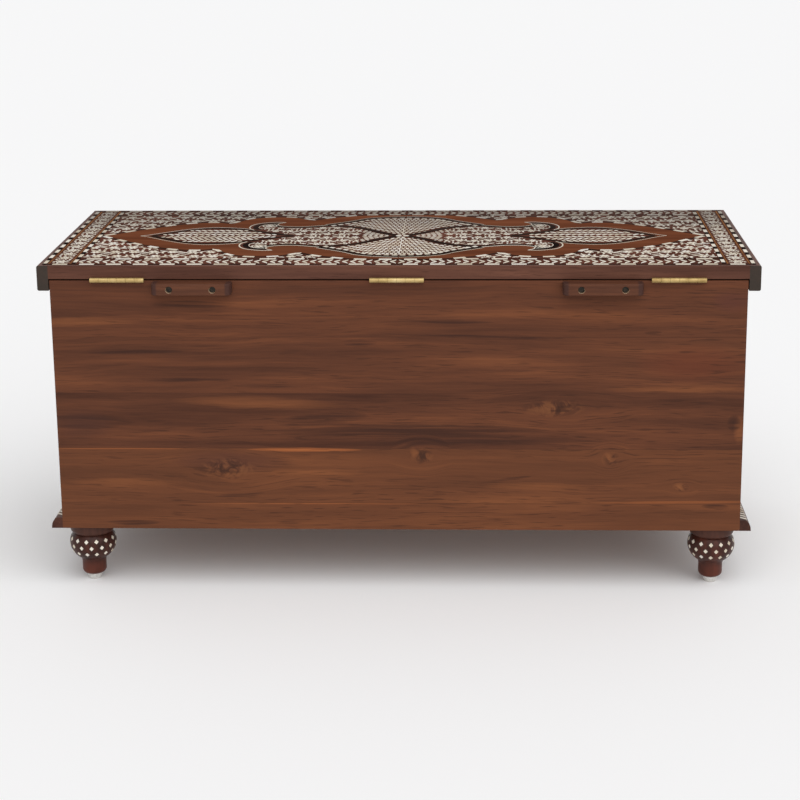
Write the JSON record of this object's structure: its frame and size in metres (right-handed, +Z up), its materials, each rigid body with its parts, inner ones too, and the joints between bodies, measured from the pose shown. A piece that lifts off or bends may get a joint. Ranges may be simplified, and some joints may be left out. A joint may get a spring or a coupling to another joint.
{
  "type": "bone inlay trunk",
  "caption": "Low wooden trunk on turned feet with a hinged, lipped lid; bone inlay scrolls on lid, front and ends, plain boarded back with lid stop blocks.",
  "frame": {"origin": "on the floor under the middle of the bounding box", "axes": "+X along the length, to the right seen from the front; +Y to the back, where the hinges are; +Z up"},
  "size_m": [1.016, 0.436, 0.481],
  "materials": {
    "back_wood": "waxed, streaky grain",
    "lid_wood": "waxed",
    "carcass_wood": "plain",
    "inlaid_wood": "polished ground of inlay",
    "turned_wood": "dark gloss",
    "brass": "worn bright",
    "steel": "dark",
    "glide": "pale, satin",
    "bone": "polished bone",
    "lac": "dark filler"
  },
  "bodies": {
    "chest": {"back_board_1": "back_wood", "back_board_2": "back_wood", "back_board_3": "back_wood", "back_board_4": "back_wood", "back_board_5": "back_wood", "bottom_panel": "carcass_wood", "carcass_dowels": "carcass_wood", "foot_back_left": "turned_wood", "foot_back_right": "turned_wood", "foot_block_back_left": "carcass_wood", "foot_block_back_right": "carcass_wood", "foot_block_front_left": "carcass_wood", "foot_block_front_right": "carcass_wood", "foot_bolts": "steel", "foot_front_left": "turned_wood", "foot_front_right": "turned_wood", "foot_glide_back_left": "glide", "foot_glide_back_right": "glide", "foot_glide_front_left": "glide", "foot_glide_front_right": "glide", "front_inlay_facing": "inlaid_wood", "front_panel": "carcass_wood", "hinge_leaf_chest_centre": "brass", "hinge_leaf_chest_left": "brass", "hinge_leaf_chest_right": "brass", "hinge_pin_centre": "brass", "hinge_pin_left": "brass", "hinge_pin_right": "brass", "hinge_screws_chest": "brass", "left_inlay_facing": "inlaid_wood", "left_side_panel": "carcass_wood", "lid_stop_block_left": "lid_wood", "lid_stop_block_right": "lid_wood", "plinth_front": "turned_wood", "plinth_left": "turned_wood", "plinth_right": "turned_wood", "right_inlay_facing": "inlaid_wood", "right_side_panel": "carcass_wood", "stop_block_screws": "steel"},
    "lid": {"lid_back_rail": "lid_wood", "lid_core_panel": "carcass_wood", "lid_inlay_panel": "inlaid_wood", "lid_lip_front": "lid_wood", "lid_lip_left": "lid_wood", "lid_lip_right": "lid_wood", "hinge_leaf_lid_centre": "brass", "hinge_leaf_lid_left": "brass", "hinge_leaf_lid_right": "brass", "hinge_screws_lid": "brass"}
  },
  "joints": [
    {"name": "lid_hinge", "type": "hinge", "parent": "chest", "child": "lid", "pos_m": [0, 0.2018, 0.461], "axis": [-1, 0, 0], "range_deg": [0, 110]}
  ]
}
